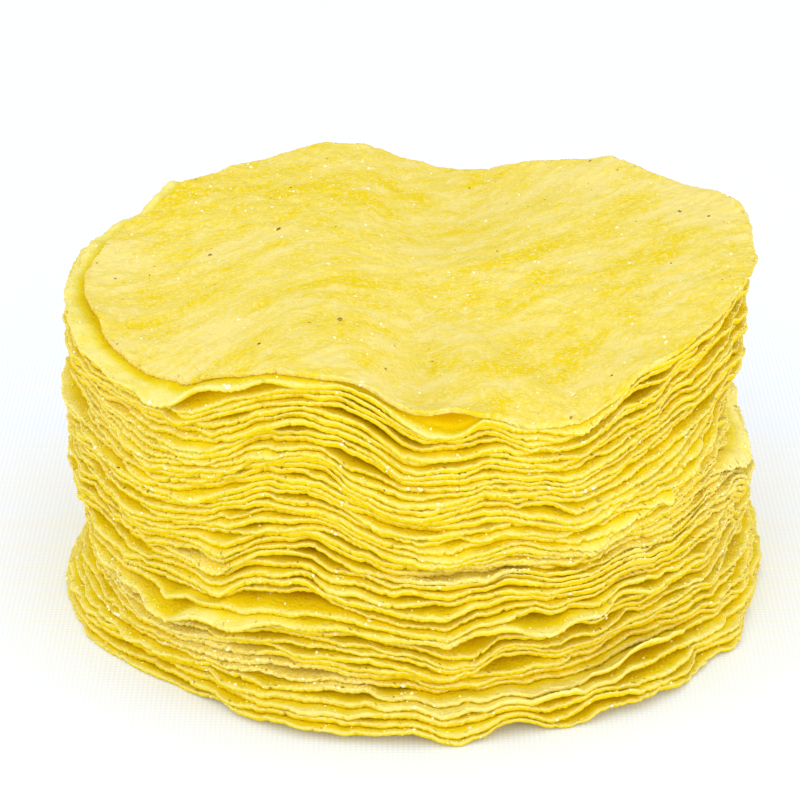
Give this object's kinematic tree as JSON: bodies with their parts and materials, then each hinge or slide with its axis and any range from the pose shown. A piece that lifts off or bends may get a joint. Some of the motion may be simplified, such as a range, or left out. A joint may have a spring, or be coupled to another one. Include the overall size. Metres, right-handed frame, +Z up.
{
  "type": "corn tortilla stack",
  "caption": "Tall loose stack of thin round corn tortillas with wavy, ruffled rims, resting on its flat underside.",
  "frame": {"origin": "under the middle of the stack, on the surface that it stands on", "axes": "+Z up through the stack, -Y towards the front, +X to the right as seen from the front"},
  "size_m": [0.1609, 0.1644, 0.081],
  "materials": {
    "corn_tortilla": "matt, slightly grainy cooked corn dough, cream yellow with deeper yellow patches"
  },
  "bodies": {
    "root": {"tortilla_01": "corn_tortilla", "tortilla_02": "corn_tortilla", "tortilla_03": "corn_tortilla", "tortilla_04": "corn_tortilla", "tortilla_05": "corn_tortilla", "tortilla_06": "corn_tortilla", "tortilla_07": "corn_tortilla", "tortilla_08": "corn_tortilla", "tortilla_09": "corn_tortilla", "tortilla_10": "corn_tortilla", "tortilla_11": "corn_tortilla", "tortilla_12": "corn_tortilla", "tortilla_13": "corn_tortilla", "tortilla_14": "corn_tortilla", "tortilla_15": "corn_tortilla", "tortilla_16": "corn_tortilla", "tortilla_17": "corn_tortilla", "tortilla_18": "corn_tortilla", "tortilla_19": "corn_tortilla", "tortilla_20": "corn_tortilla", "tortilla_21": "corn_tortilla", "tortilla_22": "corn_tortilla", "tortilla_23": "corn_tortilla", "tortilla_24": "corn_tortilla", "tortilla_25": "corn_tortilla", "tortilla_26": "corn_tortilla", "tortilla_27": "corn_tortilla", "tortilla_28": "corn_tortilla", "tortilla_29": "corn_tortilla", "tortilla_30": "corn_tortilla", "tortilla_31": "corn_tortilla", "tortilla_32": "corn_tortilla", "tortilla_33": "corn_tortilla", "tortilla_34": "corn_tortilla", "tortilla_35": "corn_tortilla", "tortilla_36": "corn_tortilla", "tortilla_37": "corn_tortilla", "tortilla_38": "corn_tortilla", "tortilla_39": "corn_tortilla", "tortilla_40": "corn_tortilla", "tortilla_41": "corn_tortilla", "tortilla_42": "corn_tortilla", "tortilla_43": "corn_tortilla", "tortilla_44": "corn_tortilla", "tortilla_45": "corn_tortilla", "tortilla_46": "corn_tortilla"}
  },
  "joints": []
}
